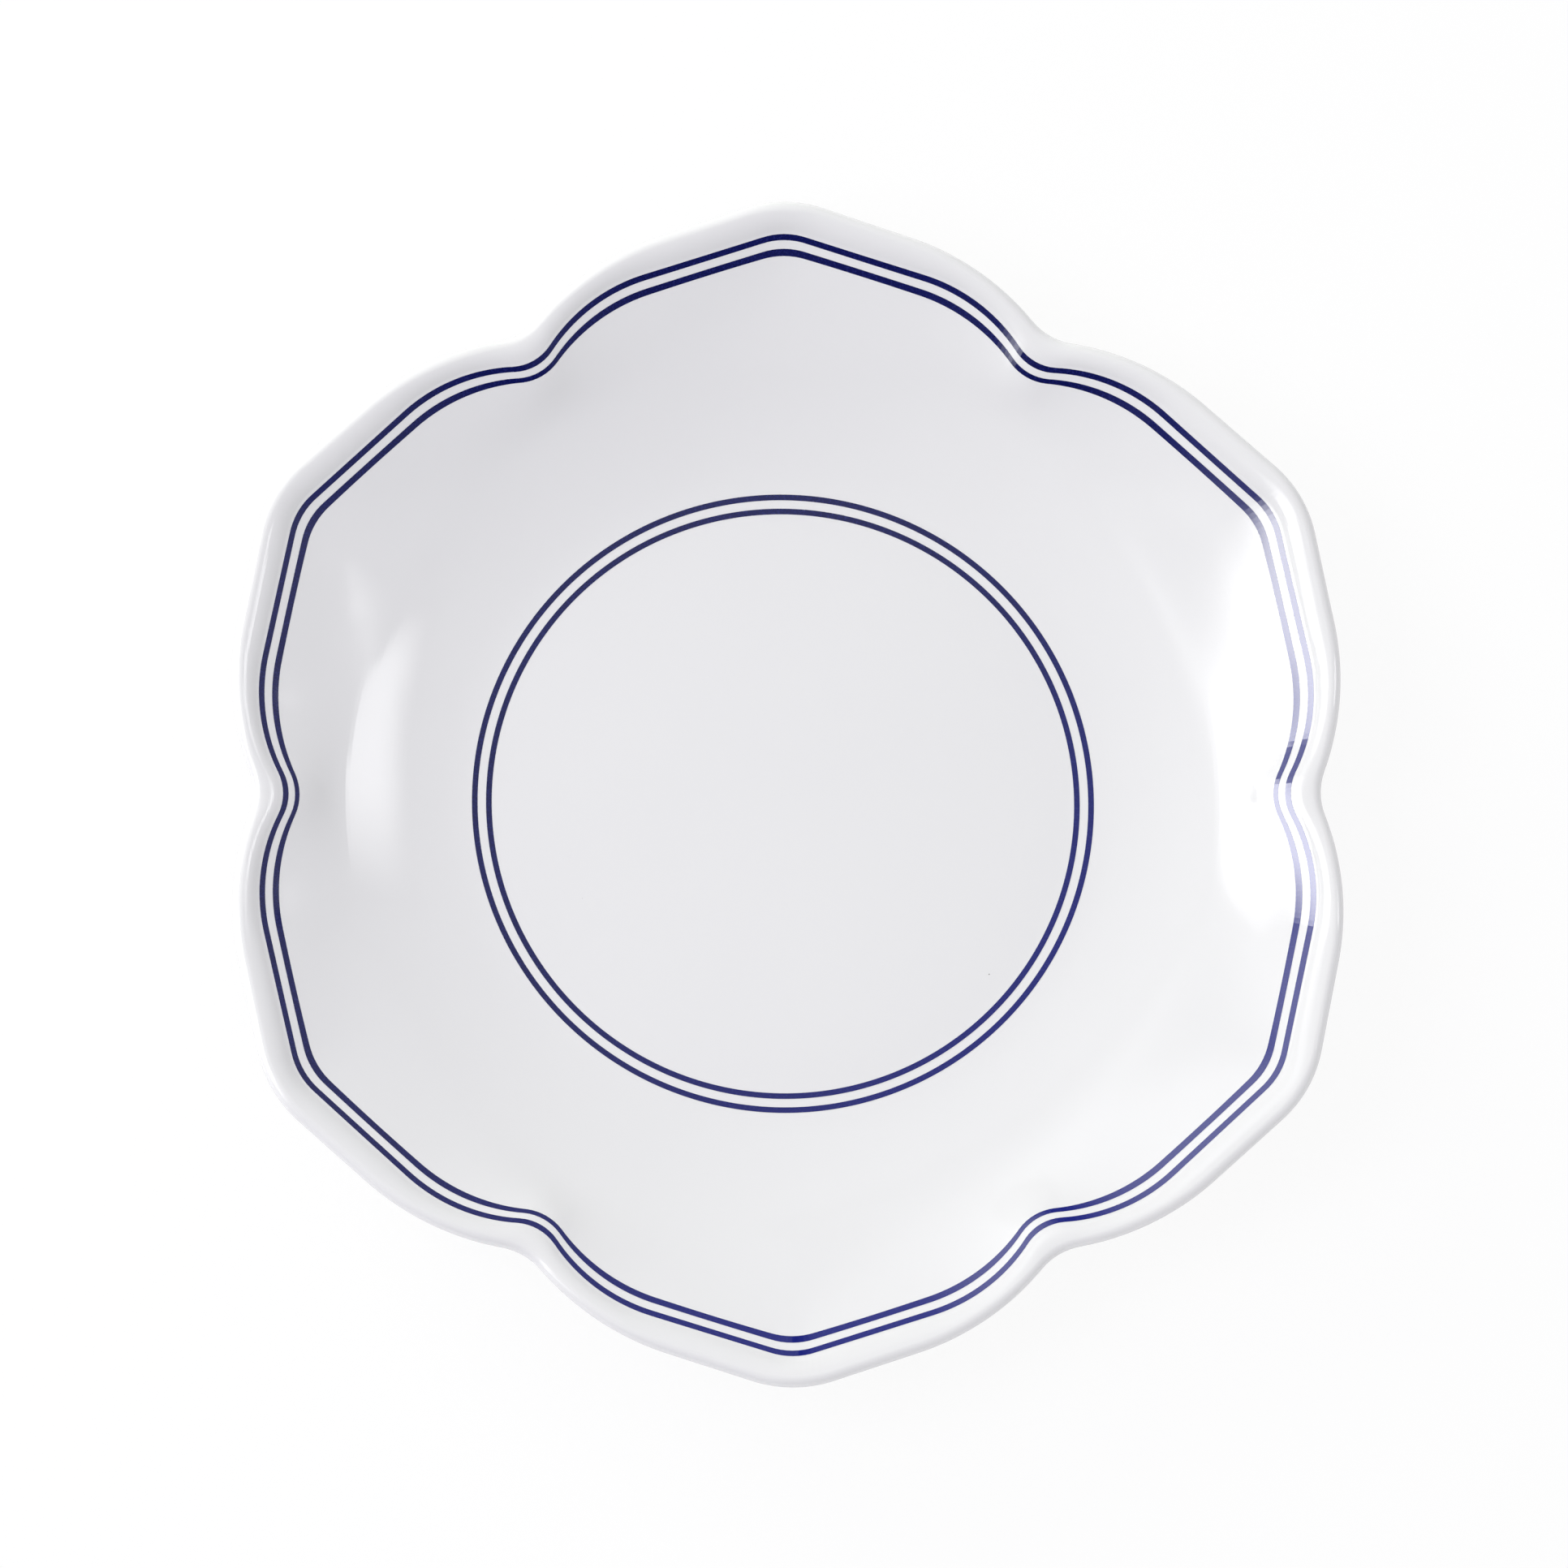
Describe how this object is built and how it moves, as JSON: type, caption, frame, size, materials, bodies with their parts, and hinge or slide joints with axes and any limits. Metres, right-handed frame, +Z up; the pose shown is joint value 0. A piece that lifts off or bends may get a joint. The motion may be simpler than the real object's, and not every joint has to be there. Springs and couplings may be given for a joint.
{
  "type": "scalloped dessert plate",
  "caption": "Dessert plate of glazed white porcelain with a pointed, scalloped rim, a curved wall, a round foot ring and paired cobalt lines around the rim and the well.",
  "frame": {"origin": "centre of the foot ring on the surface that the plate stands on", "axes": "+Z up through the middle of the plate; +Y towards the tip of a lobe; +X towards a notch between two lobes"},
  "size_m": [0.1954, 0.21, 0.0242],
  "materials": {
    "glazed_porcelain": "gloss transparent glaze over white porcelain, with a bare ground foot",
    "cobalt_colour": "cobalt blue line fired under gloss glaze"
  },
  "bodies": {
    "root": {"plate_body": "glazed_porcelain", "rim_line_outer": "cobalt_colour", "rim_line_inner": "cobalt_colour", "well_line_outer": "cobalt_colour", "well_line_inner": "cobalt_colour"}
  },
  "joints": []
}
